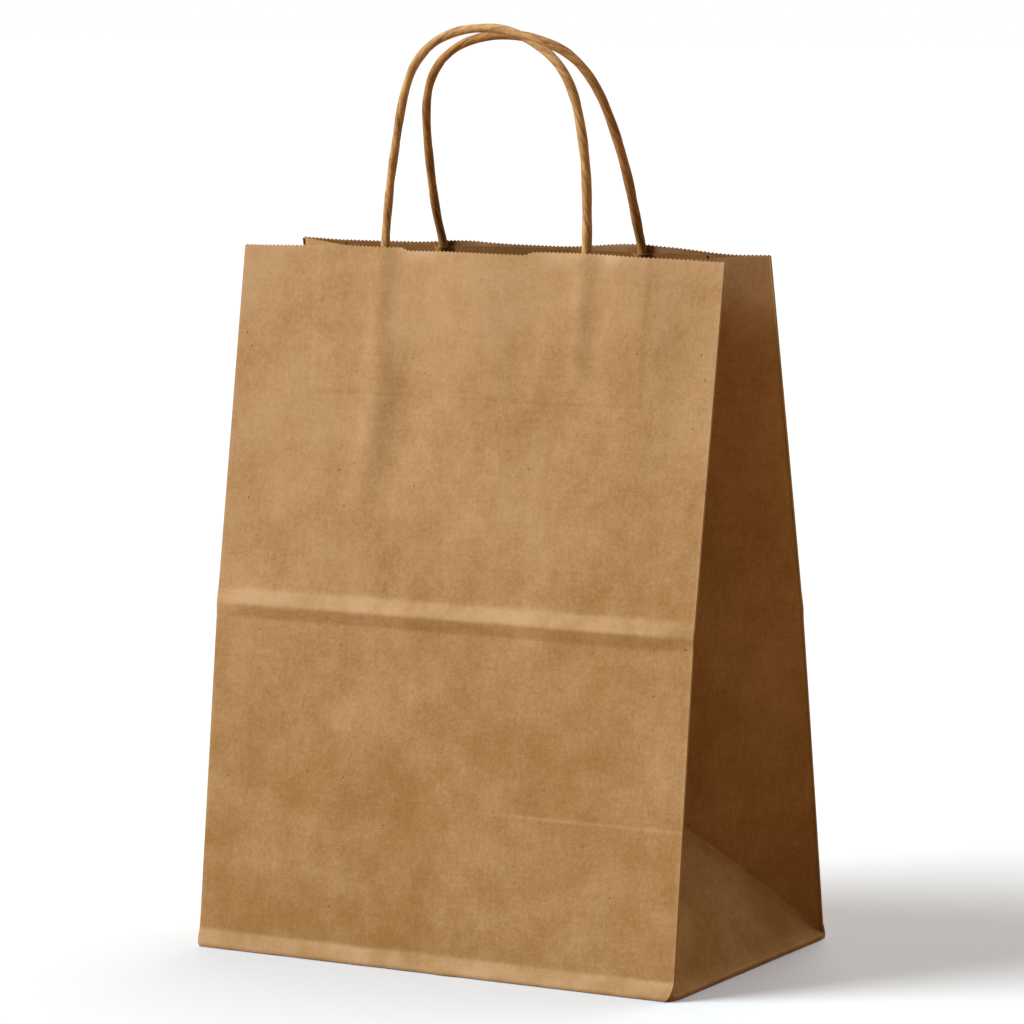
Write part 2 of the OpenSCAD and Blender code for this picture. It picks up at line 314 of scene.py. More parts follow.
def twisted_paper(name, shade):
    """Paper wound into a cord: streaks that follow the twist, and painted shade that darkens the groove.
    """
    colours = bpy.context.scene.bag_colours
    light, deep = shaded(colours.cord_light, shade), shaded(colours.cord_deep, shade)
    finish = Finish(bpy.data.materials.new(name))
    wound = finish.add("ShaderNodeTexCoord", output=2)
    place = finish.add("ShaderNodeTexCoord", output=3)
    streak = finish.noise(finish.scaled(wound, (9.0, 1.6, 1.0)), 1.0, 3.0, 0.6)
    fine = finish.noise(finish.scaled(wound, (34.0, 6.0, 1.0)), 1.0, 2.0, 0.7)
    cloud = finish.noise(place, 60.0, 2.0)
    grain = finish.noise(place, 1500.0, 2.0)
    tone = (streak - 0.5) * 2.0 + (fine - 0.5) * 1.3 + (cloud - 0.5) * 0.9 + (grain - 0.5) * 0.5 + 0.55
    colour = finish.mix(tone.ramp(0.0, 1.0), deep, light)
    # Painted shade: the groove mask darkens the cord toward a deep brown.
    groove = finish.add("ShaderNodeAttribute", {"attribute_name": "groove"}, output=2)
    colour = finish.mix(groove * 0.65, colour, [c * 0.35 for c in deep[:3]] + [1.0])
    bump = finish.add("ShaderNodeBump", {}, {
        "Strength": 0.5, "Distance": 0.0003, "Height": fine * 0.7 + streak * 0.6 + grain * 0.3})
    return finish.end(finish.add("ShaderNodeBsdfPrincipled", {}, {
        "Base Color": colour, "Roughness": 0.68 + 0.15 * fine, "Specular IOR Level": 0.3,
        "Normal": bump}))


FINISHES = {
    "outer_kraft": (kraft_paper, (1.0, 1.0, 1.0)),
    # Painted shade: the inner faces of the paper, the patches, the seam lap and the floor flaps use this
    # paper deepened, as if lying in the bag's shade.
    "inner_kraft": (kraft_paper, (0.62, 0.49, 0.35)),
    "front_cord_kraft": (twisted_paper, (1.0, 1.0, 1.0)),
    # Painted shade: the back cord is a darker copy of the front cord, as if in shade.
    "back_cord_kraft": (twisted_paper, (0.74, 0.64, 0.50)),
}


def finish_named(name):
    """A material of this bag, made once."""
    maker, shade = FINISHES[name]
    return bpy.data.materials.get(name) or maker(name, shade)


# ---------------------------------------------------------------- shape of the folded paper

# All lengths are in metres. s is a distance up the paper from the bottom fold.
BEND_REACH = 0.004        # paper on each side of the crease that its bend takes up
CRUSH_HEIGHT = 0.0062     # height up to which a foot corner is crushed
CORNER_CRUSH = {(-1, True): 0.0028, (-1, False): 0.0011, (1, True): 0.0004, (1, False): 0.0006}
FOOT_TUCK = 0.0006        # how far the paper turns in where it meets the floor
FOOT_START = 0.0006       # s at which the gussets' sheets begin
RIPPLE = 0.00022          # small ripples in the free part of a panel
LEG_MARK, LEG_HOLLOW = 0.00055, 0.00020    # what a glued cord end presses out, and in beside it
PATCH_MARK = 0.00018      # what the glued patch presses out
MARK_EDGE = 0.0008        # how softly that mark ends
DENT_OUT, DENT_IN = 0.00085, 0.00075       # the soft crease that runs down from the left cord
FLOOR_DENT = 0.0004       # the faint one that runs up from the foot
FOLD_MARK = 0.00012       # the fold line at the height of the bottom triangles' tips
RIM_WAVE = 0.0004         # unevenness of the rims
FRONT_RISE, FRONT_CHIP = 0.0010, 0.0012    # how the front rim rises, and its worn stretch drops
BACK_DROP = 0.0004
BACK_RISES = ((0.045, 0.022, 0.0020), (-0.030, 0.013, 0.0012))    # middle, width, height
DIAGONAL_BOW, GUSSET_BOW, TRIANGLE_BOW = 0.0009, 0.0016, 0.0010
GUSSET_SWELL, GUSSET_CRINKLE = 0.0005, 0.00035
TRIANGLE_SWELL, TRIANGLE_ROLL = 0.0006, 0.0007
RIM_GAP = 0.0015          # how far the patches and the seam lap end below the rim
FOOT_RETURNS = (0.0034, 0.0020, 0.0009)    # paper that turns in under the bag, row by row
WALL_LOW, UNDER_LOW, FLAP_LOW = 0.0002, 0.00018, 0.0002    # lowest heights of these sheets
TRIANGLE_FOOT, TRIANGLE_LOW = 0.00016, 0.00022
JUST = 1e-5               # just enough to say on which side of a fold a row is


def soft_peak(value, blur):
    """value where it is above 0 and 0 below, with the corner rounded."""
    return 0.5 * (value + math.sqrt(value * value + blur * blur)) - 0.5 * blur * blur / (abs(value) + blur)


def smooth(value, low, high):
    """0 up to low and 1 from high, smooth between them."""
    t = min(1.0, max(0.0, (value - low) / (high - low)))
    return t * t * (3 - 2 * t)


def bell(value, width):
    """1 at 0, falling off smoothly within about twice the width."""
    return math.exp(-(value / width) ** 2)


class FoldedBag:
    """Where each point of the paper lies. side is -1 for the front panel and 1 for the back."""

    def __init__(self):
        self.sizes = bpy.context.scene.bag_sizes
        self.handle = bpy.context.scene.handle_sizes
        self.crease = self.sizes.crease_height
        self.lean = {side: self._lean(rim) for side, rim in RIMS.items()}
        self.length = {side: self._length(side, rim) for side, rim in RIMS.items()}

    def _lean(self, rim):
        """Lean of the lower half of a panel, from its fold and rim."""
        inward, rise = HALF_DEPTH - abs(rim.y), rim.z - FLOOR_FOLD
        upper = math.hypot(inward, rise) - self.crease
        bend = self.sizes.crease_bend
        a, b = self.crease + upper * math.cos(bend), upper * math.sin(bend)
        return math.atan2(inward, rise) - math.atan2(b, a)

    def _length(self, side, rim):
        """Length of paper from the bottom fold to the rim."""
        low, bend = self.lean[side], self.sizes.crease_bend
        rise = rim.z - self.sizes.rim_drop - FLOOR_FOLD - self.crease * math.cos(low)
        return self.crease + rise / math.cos(low + bend)

    def corner_pull(self, side, right, s):
        """How far a foot corner is crushed in at s; the front right one is crushed the most."""
        q = max(0.0, 1 - s / CRUSH_HEIGHT)
        return CORNER_CRUSH[side, right] * (1 - math.sqrt(max(0.0, 1 - q * q)))

    def profile(self, side, s):
        """(distance inward from the fold, height) of a panel's paper, with the bend rounded."""
        low, bend = self.lean[side], self.sizes.crease_bend
        t = s - self.crease
        if abs(t) < BEND_REACH:
            turned = bend * (t + BEND_REACH) ** 2 / (4 * BEND_REACH)
        else:
            turned = bend * max(0.0, t)
        inward = math.sin(low) * s + math.cos(low) * turned
        rise = math.cos(low) * s - math.sin(low) * turned
        return inward, FLOOR_FOLD + rise

    def swell(self, side, x, s):
        """How far the paper stands out from its plane."""
        sizes, tall = self.sizes, self.length[side]
        ends = smooth(HALF_WIDTH - abs(x), -0.002, 0.013)
        out = self.ridge(side, x, s) * (0.22 + 0.78 * ends)
        foot = sizes.lip_height * (1 + 0.22 * noise.noise(Vector((x * 42, 2.0, side))))
        rumple = noise.noise(Vector((x * 75, s * 110, side * 3.0)))
        near = bell(x - 0.012, 0.022) if side < 0 else 0.3
        lip = soft_peak(1 - s / foot, 0.10)
        out += sizes.lip_flare * lip * (1 + 0.45 * rumple * (0.35 + near))
        out -= FOOT_TUCK * max(0.0, 1 - s / 0.0012) ** 2
        inside = smooth(HALF_WIDTH - abs(x), 0.0, 0.03) * smooth(s, 0.004, 0.035)
        free = inside * smooth(tall - s, 0.0, 0.03)
        point = Vector((x * 15, s * 13, 11.0 + side))
        out += sizes.sway * free * (0.9 * noise.noise(point) + 0.45 * noise.noise(point * 2.3))
        out += RIPPLE * free * noise.noise(Vector((x * 70, s * 60, side)))
        return out + self.marks(side, x, s)

    def ridge(self, side, x, s):
        """The roof-shaped ridge pressed out along the crease half way up."""
        wave = noise.noise(Vector((x * 11 + 3, 2.0, 7.0 * side)))
        waver = 0.0005 * noise.noise(Vector((x * 20, 5.0, side)))
        t = (s - self.crease - waver) / self.sizes.ridge_reach
        t *= 0.80 if t > 0 else 1.06
        roof = soft_peak(1 - math.sqrt(t * t + 0.012) + 0.05, 0.10)
        return self.sizes.ridge_rise * (1 + 0.15 * wave) * roof

    def wear_and_highlight(self, side, x, s):
        """Where folds and rims have rubbed pale, with painted highlight on the lit upper slope of the
        crease ridge and along the side folds, from 0 to 1.
        """
        below = self.length[side] - s
        patchy = 0.5 + 0.8 * noise.noise(Vector((x * 34, s * 120, 3.0 * side)))
        lip = smooth(self.sizes.lip_height * 1.2 - s, 0.0, 0.0022) * (0.28 + 0.35 * patchy)
        # The band above the crease is painted highlight where the ridge faces the light, on top of
        # rubbing.
        t = (s - self.crease) / self.sizes.ridge_reach
        band = smooth(1.30 - t, 0.0, 0.45) * smooth(t + 0.08, 0.0, 0.15)
        band *= smooth(HALF_WIDTH - abs(x), 0.0, 0.02) * 0.22 + 0.20 + 0.10 * patchy
        rim = 0.5 * smooth(0.0012 - below, 0.0, 0.001) * max(0.0, patchy)
        spot = bell(x - 0.056, 0.008) + bell(x + 0.022, 0.009) + 0.8 * bell(x - 0.034, 0.008)
        rim += 0.80 * spot * smooth(0.0055 - below, 0.0, 0.004) * (1 if side < 0 else 0.3)
        # The pale line along the side edges is painted highlight of the rounded fold as well as rubbing.
        side_edge = 0.25 * bell(HALF_WIDTH - abs(x), 0.0009)
        fold = 0.22 * bell(s - HALF_DEPTH, 0.0006) * smooth(x, 0.0, 0.05)
        return min(1.0, max(0.0, max(lip, band) + rim + side_edge + fold))

    def marks(self, side, x, s):
        """What the glued patch and cord ends press through the paper, and the soft creases."""
        handle, below = self.handle, self.length[side] - s
        out = 0.0
        for centre in self.legs(side):
            fade = 1 - smooth(below, handle.leg_in_patch - 0.012, handle.leg_in_patch + 0.008)
            out += LEG_MARK * bell(x - centre, 0.0038) * fade
            out -= LEG_HOLLOW * bell(x - centre - 0.0075, 0.0036) * fade
        across = smooth(handle.patch_width / 2 - abs(x - sum(self.legs(side)) / 2), -MARK_EDGE, MARK_EDGE)
        out += PATCH_MARK * across * smooth(handle.patch_height - below, -MARK_EDGE, MARK_EDGE)
        if side < 0:
            line = -0.0385 - 0.10 * (below - 0.055)
            started, ended = smooth(below, 0.02, 0.04), smooth(below, 0.075, 0.11)
            out += DENT_OUT * bell(x - line, 0.006) * started * (1 - ended)
            started, ended = smooth(below, 0.03, 0.05), smooth(below, 0.07, 0.10)
            out -= DENT_IN * bell(x - line - 0.012, 0.007) * started * (1 - ended)
            out += FLOOR_DENT * bell(x + 0.008 - 0.25 * (s - 0.03), 0.010) * bell(s - 0.026, 0.016)
        turned = smooth(s, HALF_DEPTH - 0.001, HALF_DEPTH + 0.001)
        fold = FOLD_MARK * bell(s - HALF_DEPTH, 0.0012) * (1 - 2 * turned)
        return out + fold * (0.5 + 0.5 * smooth(x, -0.02, 0.05))

    def legs(self, side):
        """Where the two legs of a handle pass the rim."""
        middle = self.handle.front_shift if side < 0 else self.handle.back_shift
        return middle - self.handle.leg_spacing / 2, middle + self.handle.leg_spacing / 2

    def rim_sway(self, side, x, s):
        """The slight curve of the rims, gone at the cords and lower down."""
        share = max(0.0, s / self.length[side]) ** 2.2
        if side < 0:
            return share * (0.0009 * bell(x, 0.02) - 0.0022 * smooth(x, 0.06, HALF_WIDTH))
        return share * (0.0012 * bell(x, 0.022) - self.sizes.back_corner_in * smooth(x, 0.055, HALF_WIDTH))

    def rim_line(self, side, x):
        """How far the cut rim rises and falls along the panel, 0 at the sides."""
        inside = smooth(HALF_WIDTH - abs(x), 0.0, 0.02)
        wave = RIM_WAVE * noise.noise(Vector((x * 38, 6.0, side)))
        if side < 0:
            chip = FRONT_CHIP * smooth(x, -0.033, -0.029) * smooth(-x, -0.025, -0.020)
            return inside * wave + FRONT_RISE * smooth(HALF_WIDTH - abs(x), 0.0, 0.05) - chip
        rises = sum(height * bell(x - middle, width) for middle, width, height in BACK_RISES)
        return inside * (wave - BACK_DROP + rises)

    def panel(self, side, x, s, inward=0.0):
        """A point of a panel at x across and s up the paper, moved inward by a little."""
        ahead, rise = self.profile(side, s)
        bent = smooth(s, self.crease - BEND_REACH, self.crease + BEND_REACH)
        tilt = self.lean[side] + self.sizes.crease_bend * bent
        out = self.swell(side, x, s) + self.rim_sway(side, x, s) - inward
        y = side * (HALF_DEPTH - ahead + out * math.cos(tilt))
        pull = self.corner_pull(side, x > 0, s) * smooth(abs(x), HALF_WIDTH - 0.014, HALF_WIDTH)
        return Vector((x - math.copysign(pull, x), y, max(WALL_LOW, rise + out * math.sin(tilt))))

    def edge(self, side, right, s):
        """A point of a panel's side edge."""
        return self.panel(side, HALF_WIDTH if right else -HALF_WIDTH, s)

    def fold_line(self, side, s):
        """(distance from the middle, height, slope) of the straight line that a side edge folds about."""
        rim = RIMS[side]
        inward, rise = HALF_DEPTH - abs(rim.y), rim.z - FLOOR_FOLD
        share = s / math.hypot(inward, rise)
        return HALF_DEPTH - inward * share, FLOOR_FOLD + rise * share, inward / rise

    def crease_point(self, right, s):
        """The inward crease of a gusset at s, as wide as the half gusset is from both fold lines."""
        (front, low, slope), (back, high, _) = self.fold_line(-1, s), self.fold_line(1, s)
        half = (front + back) / 2
        depth = math.sqrt(max(0.0, HALF_DEPTH ** 2 - half ** 2 * (1 + slope ** 2)))
        away = 1 if right else -1
        return Vector((away * (HALF_WIDTH - depth), (back - front) / 2, (low + high) / 2 - slope * half))

    def diagonal(self, side, right, share):
        """A point of the slightly bowed fold from a foot corner to the apex."""
        away = 1 if right else -1
        bow = DIAGONAL_BOW * math.sin(math.pi * share) ** 0.9
        foot, apex = self.edge(side, right, FOOT_START), self.crease_point(right, HALF_DEPTH)
        return foot.lerp(apex, share) + Vector((0.5 * away, 0, 0.9)) * bow

    def gusset(self, side, right, s, share):
        """A point of a gusset half; share runs from the side edge to the crease."""
        a, b = self.edge(side, right, s), self.crease_point(right, s)
        if s < HALF_DEPTH:
            b = self.diagonal(side, right, s / HALF_DEPTH)
        point = a.lerp(b, share)
        across = (b - a).normalized() if (b - a).length > 1e-9 else Vector((0, -side, 0))
        up = Vector((0, -side * math.sin(self.lean[side]), math.cos(self.lean[side])))
        normal = across.cross(up).normalized()
        if normal.x * (1 if right else -1) < 0:
            normal = -normal
        middle = math.sin(math.pi * share)
        bow = GUSSET_BOW * middle * smooth(s, HALF_DEPTH, HALF_DEPTH + 0.05)
        ridge = self.sizes.ridge_rise * 0.22 * bell(s - self.crease, 0.0035)
        ridge *= math.sin(math.pi * min(1, share * 1.1 + 0.05))
        swell = GUSSET_SWELL * noise.noise(Vector((share * 2.3, s * 16, side + (5 if right else 9))))
        swell *= middle * smooth(s, 0.0, 0.02)
        crinkle = GUSSET_CRINKLE * noise.noise(Vector((share * 14, s * 260, side * 2.0)))
        crinkle *= bell(s - HALF_DEPTH - 0.004, 0.008) * middle
        return point + normal * (bow + ridge + swell + crinkle)

    def gusset_wear_and_highlight(self, s, share):
        """Pale lines of a gusset half, from 0 to 1: rubbing, with painted highlight along the side and
        diagonal folds.
        """
        line = 0.35 * bell(share, 0.03) if s > HALF_DEPTH else 0.5 * bell((1 - share) * s, 0.0008)
        return min(1.0, line + 0.25 * bell(s - HALF_DEPTH, 0.0007) * share)


# ---------------------------------------------------------------- mesh makers

def paper_sheet(name, grid, finish, paper, flip=False, wear_and_highlight=None):
    """A sheet of even thickness about a grid of points, sharp along its cut edges."""
    points = np.array([[tuple(p) for p in row] for row in grid])
    along = np.gradient(points, axis=0)
    across = np.gradient(points, axis=1)
    normal = np.cross(along, across)
    size = np.linalg.norm(normal, axis=2, keepdims=True)
    normal = normal / np.maximum(size, 1e-12)
    if flip:
        normal = -normal
    rows, cols = points.shape[:2]
    count = rows * cols
    both = np.concatenate([(points + normal * paper / 2).reshape(-1, 3),
                           (points - normal * paper / 2).reshape(-1, 3)])
    index = np.arange(count).reshape(rows, cols)
    a, b = index[:-1, :-1].ravel(), index[1:, :-1].ravel()
    c, d = index[1:, 1:].ravel(), index[:-1, 1:].ravel()
    faces = [np.stack([a, b, c, d], 1), np.stack([d, c, b, a], 1) + count]
    for line in (index[0, ::-1], index[-1, :], index[:, 0], index[::-1, -1]):
        faces.append(np.stack([line[:-1], line[1:], line[1:] + count, line[:-1] + count], 1))
    faces = np.concatenate(faces)
    if flip:
        faces = faces[:, ::-1]
    mesh = bpy.data.meshes.new(name)
    mesh.from_pydata(both.tolist(), [], faces.tolist())
    mesh.update()
    mesh.validate()
    mesh.shade_smooth()
    mesh.set_sharp_from_angle(angle=math.radians(50))
    # The inner faces of these sheets take the paper deepened with painted shade.
    if finish == "outer_kraft":
        mesh.materials.append(finish_named(finish))
        mesh.materials.append(finish_named("inner_kraft"))
        inside = np.zeros(len(faces), dtype=np.int32)
        inside[len(a):2 * len(a)] = 1
        mesh.polygons.foreach_set("material_index", inside)
    else:
        mesh.materials.append(finish_named(finish))
    rubbed_and_lit = np.zeros(count) if wear_and_highlight is None else np.array(wear_and_highlight).ravel()
    mesh.attributes.new("wear_and_highlight", "FLOAT", "POINT").data.foreach_set("value", np.tile(rubbed_and_lit, 2))
    piece = bpy.data.objects.new(name, mesh)
    bpy.context.scene.collection.objects.link(piece)
    return piece


def steps(low, high, pitch):
    """Even steps from low to high, about a pitch apart."""
    count = max(1, round((high - low) / pitch))
    return [low + (high - low) * i / count for i in range(count + 1)]


def paper_rows(bag, side, fine):
    """Distances up the paper, closer together at the foot, the crease and the rim."""
    tall, crease = bag.length[side], bag.crease
    marks = [(0.0, 0.010, 0.0006), (0.010, HALF_DEPTH - 0.003, 0.003),
             (HALF_DEPTH - 0.003, HALF_DEPTH + 0.003, 0.0006),
             (HALF_DEPTH + 0.003, crease - 0.016, 0.003), (crease - 0.016, crease + 0.012, 0.0007),
             (crease + 0.012, tall - 0.06, 0.003), (tall - 0.06, tall - 0.050, 0.0006),
             (tall - 0.050, tall - 0.0016, 0.0022)]
    rows = [0.0]
    for low, high, pitch in marks:
        rows += steps(low, high, pitch * fine)[1:]
    return rows


def toothed_row(bag, side, column, place):
    """Length of paper up to the rim at a column: every other one is the bottom of a notch."""
    uneven = 0.5 + 0.5 * noise.noise(Vector((place * 53, side, 2.0)))
    depth = bag.sizes.tooth_depth * (0.75 + 0.35 * uneven)
    return bag.length[side] - (depth if column % 2 == 0 else 0.0002 * uneven)


def with_returns(line, side):
    """A row of panel points with the fold's round turned a little inward at both ends."""
    turn = bpy.context.scene.bag_sizes.fold_return

    def turned(point, share, away):
        return Vector((point.x - away * turn * share * 0.12, point.y - side * turn * share, point.z))

    left, right = line[0], line[-1]
    return ([turned(left, 1, -1), turned(left, 0.5, -1)] + line
            + [turned(right, 0.5, 1), turned(right, 1, 1)])


def panel_sheet(bag, side, name):
    """A big panel from the paper turned in under the bag up to its toothed rim."""
    teeth = round(2 * HALF_WIDTH / bag.sizes.tooth_pitch)
    columns = [-HALF_WIDTH + 2 * HALF_WIDTH * i / (2 * teeth) for i in range(2 * teeth + 1)]
    rows = paper_rows(bag, side, 1.0)
    foot = [bag.panel(side, x, 0.0) for x in columns]
    grid = [[Vector((p.x * 0.9995, p.y - side * inward, UNDER_LOW)) for p in foot]
            for inward in FOOT_RETURNS]
    grid += [[bag.panel(side, x, s) for x in columns] for s in rows]
    grid.append([bag.panel(side, x, toothed_row(bag, side, i, x) + bag.rim_line(side, x))
                 for i, x in enumerate(columns)])
    grid = [with_returns(line, side) for line in grid]
    wear_and_highlight = [[bag.wear_and_highlight(side, x, s) for x in columns]
            for s in [0.0] * len(FOOT_RETURNS) + rows + [bag.length[side]]]
    wear_and_highlight = [row[:1] * 2 + row + row[-1:] * 2 for row in wear_and_highlight]
    return paper_sheet(name, grid, "outer_kraft", bag.sizes.paper, flip=side < 0, wear_and_highlight=wear_and_highlight)


def gusset_upper(bag, side, right, name):
    """A gusset half above the height where the diagonal folds meet."""
    teeth = round(HALF_DEPTH / bag.sizes.tooth_pitch)
    shares = [i / (2 * teeth) for i in range(2 * teeth + 1)]
    rows = [s for s in paper_rows(bag, side, 1.6) if s > HALF_DEPTH + 0.0005]
    grid = [[bag.gusset(side, right, s, k) for k in shares] for s in [HALF_DEPTH] + rows]
    grid.append([bag.gusset(side, right, toothed_row(bag, side, i, k), k) for i, k in enumerate(shares)])
    wear_and_highlight = [[bag.gusset_wear_and_highlight(s, k) for k in shares]
            for s in [HALF_DEPTH + JUST] + rows + [bag.length[side]]]
    return paper_sheet(name, grid, "outer_kraft", bag.sizes.paper, flip=(side < 0) == right, wear_and_highlight=wear_and_highlight)


def gusset_lower(bag, side, right, name):
    """A gusset half below that height, cut off by its diagonal fold."""
    shares = [1 - (1 - k) ** 1.5 for k in steps(0.0, 1.0, 1 / 26)]
    rows = [FOOT_START, 0.0012, 0.0019, 0.0028, 0.0038, 0.005, 0.0065] + steps(0.0085, HALF_DEPTH, 0.0018)
    grid = [[bag.gusset(side, right, s, k) for k in shares] for s in rows]
    wear_and_highlight = [[bag.gusset_wear_and_highlight(min(s, HALF_DEPTH - JUST), k) for k in shares] for s in rows]
    return paper_sheet(name, grid, "outer_kraft", bag.sizes.paper, flip=(side < 0) == right, wear_and_highlight=wear_and_highlight)


def foot_width(bag, right, y):
    """Half width of the bottom at y, less at the crushed corners."""
    side = -1 if y < 0 else 1
    return HALF_WIDTH - bag.corner_pull(side, right, HALF_DEPTH - abs(y))


def bottom_triangle(bag, right, name):
    """The triangle between the two diagonal folds and the bottom fold."""
    away = Vector((1 if right else -1, 0, 0))
    ups = [0.0, 0.006, 0.012, 0.02, 0.03, 0.045, 0.065] + steps(0.09, 1.0, 0.035)
    shares = [0.5 - 0.5 * math.cos(math.pi * k) for k in steps(0.0, 1.0, 1 / 56)]
    grid, wear_and_highlight = [], []
    for up in ups:
        a, b = bag.diagonal(-1, right, up), bag.diagonal(1, right, up)
        base = max(0.0, 1 - up * 14)
        line = []
        for share in shares:
            p = a.lerp(b, share)
            wide = foot_width(bag, right, max(-HALF_DEPTH, min(HALF_DEPTH, p.y))) - abs(p.x)
            middle = math.sin(math.pi * share)
            bow = TRIANGLE_BOW * middle * math.sin(math.pi * up)
            swell = TRIANGLE_SWELL * noise.noise(Vector((share * 3, up * 3, 4.0 if right else 8.0)))
            swell *= middle * (1 - up)
            roll = TRIANGLE_ROLL * bell(up - 0.012, 0.014) * min(1.0, middle * 9)
            p = p + away * (bow + swell * (1 - base) + roll + base * wide)
            p.z = TRIANGLE_FOOT if up == 0 else max(p.z, TRIANGLE_LOW)
            line.append(p)
        grid.append(line)
        # The pale line at the foot is rubbing; the pale lines along the two diagonal folds are painted
        # highlight as well as rubbing.
        wear_and_highlight.append([0.55 * bell(up - 0.008, 0.012) + 0.45 * bell(min(k, 1 - k) * (1 - up), 0.007)
                     for k in shares])
    return paper_sheet(name, grid, "outer_kraft", bag.sizes.paper, flip=right, wear_and_highlight=wear_and_highlight)


def bottom_flap(bag, node, name):
    """One flap of the folded bottom, at the height of its solid and cut to the rounded corners."""
    low, high = (Vector(corner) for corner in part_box(node))
    level = max(FLAP_LOW, (low.z + high.z) / 2)
    grid = []
    for y in steps(low.y, high.y, 0.0012):
        reach = max(-HALF_DEPTH, min(HALF_DEPTH, y))
        left = max(low.x, 0.0004 - foot_width(bag, False, reach))
        right = min(high.x, foot_width(bag, True, reach) - 0.0004)
        line = []
        for x in steps(0.0, 1.0, 1 / 90):
            lift = 0.00005 * noise.noise(Vector((x * 9, y * 60, 1.0)))
            line.append(Vector((left + (right - left) * x, y, level + lift)))
        grid.append(line)
    # Painted shade: the floor flaps take the deepened copy of the paper.
    return paper_sheet(name, grid, "inner_kraft", bag.sizes.paper * 0.7, flip=True)


def patch_sheets(bag, side, name):
    """The two layers of a handle patch, the inner one pressed down round the cord ends."""
    handle, paper = bag.handle, bag.sizes.paper
    top, half = bag.length[side] - RIM_GAP, handle.patch_width / 2
    middle = sum(bag.legs(side)) / 2
    columns = steps(-half, half, 0.0007)
    rows = steps(top - handle.patch_height, top, 0.0022)

    def pressed(x):
        away = abs(abs(x) - handle.leg_spacing / 2)
        reach = handle.radius * 2.9
        hump = 2 * handle.radius + 0.0007
        return hump * (0.5 + 0.5 * math.cos(math.pi * away / reach)) if away < reach else 0.0

    def layer(piece, depth, shape):
        grid = [[bag.panel(side, middle + x, s, depth + shape(x)) for x in columns] for s in rows]
        # Painted shade: the patch layers take the deepened copy of the paper.
        return paper_sheet(piece, grid, "inner_kraft", paper * 0.9, flip=side < 0)

    return (layer(name + "_backing", paper * 1.05, lambda x: 0.0),
            layer(name + "_cover", paper * 2.1, pressed))


# Middle line of each free arch: millimetres across the bag and above the handle's pivot
ARCHES = {
    -1: ((-40.5, 0), (-40.1, 6), (-39.3, 14), (-38.4, 22), (-37.2, 30), (-35.6, 39), (-33.8, 49),
         (-31.4, 58.5), (-27.5, 67.5), (-20.1, 75.2), (-10.1, 79.8), (0.9, 81.4), (11.9, 80.7),
         (21.9, 77.2), (30.4, 71.8), (36.4, 65), (40.4, 56.5), (43, 45.5), (44.7, 34), (45.4, 22),
         (45.5, 11), (45.3, 0)),
    1: ((-38.4, 0), (-38.2, 7), (-37.6, 16), (-36.8, 25), (-36, 34), (-35.1, 44), (-33.8, 53),
        (-31.2, 61), (-26.5, 68), (-19, 73.7), (-9, 77.3), (1, 78.4), (11, 77.9), (21, 75.4),
        (29.5, 71.1), (36, 64.8), (40.8, 56.8), (44.2, 47), (46.4, 37), (47.6, 27), (47.9, 16),
        (47.7, 8), (47.3, 0)),
}
ARCH_DROP = 0.0008        # how far the arches sit below the pivots
LEG_TOP = 0.003           # how far below the rim the glued leg gives way to the arch
FRONT_TIP = 0.0010        # how far the top of the front arch stands out from its feet


def cord_path(bag, side):
    """Middle line of a handle: glued leg, arch, glued leg."""
    handle, arch = bag.handle, ARCHES[side]
    inset = bag.sizes.paper * 2 + handle.radius + 0.00015
    tall = max(height for _, height in arch) / 1000
    low, high = bag.length[side] - handle.leg_in_patch - 0.001, bag.length[side] - LEG_TOP
    left, right = ([bag.panel(side, x, s, inset) for s in (low, high)] for x in bag.legs(side))
    path = list(left)
    for x, height in arch:
        share = height / 1000 / tall
        lean = FRONT_TIP * share if side < 0 else -handle.back_lean * (1 - (1 - share) ** 1.8)
        foot = abs((left if x < 0 else right)[1].y) - LEG_TOP * math.tan(bag.lean[side])
        path.append(Vector((x / 1000, side * foot + lean, RIMS[side].z - ARCH_DROP + height / 1000)))
    return smooth_line(path + right[::-1], 0.0007)


def smooth_line(points, pitch):
    """A smooth curve close to the points, spaced evenly, and how far along it each of its points is."""
    line = np.array([tuple(p) for p in points])
    far = np.concatenate([[0], np.cumsum(np.linalg.norm(np.diff(line, axis=0), axis=1))])
    slope = np.gradient(line, far, axis=0)
    fine = np.linspace(0, far[-1], 1200)
    k = np.clip(np.searchsorted(far, fine, side="right") - 1, 0, len(far) - 2)
    gap = (far[k + 1] - far[k])[:, None]
    t = ((fine - far[k])[:, None]) / gap
    line = ((2 * t ** 3 - 3 * t ** 2 + 1) * line[k] + (t ** 3 - 2 * t ** 2 + t) * gap * slope[k]
            + (3 * t ** 2 - 2 * t ** 3) * line[k + 1] + (t ** 3 - t ** 2) * gap * slope[k + 1])
    for _ in range(60):
        line[1:-1] = 0.25 * line[:-2] + 0.5 * line[1:-1] + 0.25 * line[2:]
    gaps = np.linalg.norm(np.diff(line, axis=0), axis=1)
    far = np.concatenate([[0], np.cumsum(gaps)])
    even = np.linspace(0, far[-1], int(far[-1] / pitch) + 1)
    return np.stack([np.interp(even, far, line[:, k]) for k in range(3)], 1), even


def groove_depth(angle, width):
    """1 in the middle of a groove, down to 0 at its edges."""
    return max(0.0, 1 - abs(math.remainder(angle, 2 * math.pi)) / width)


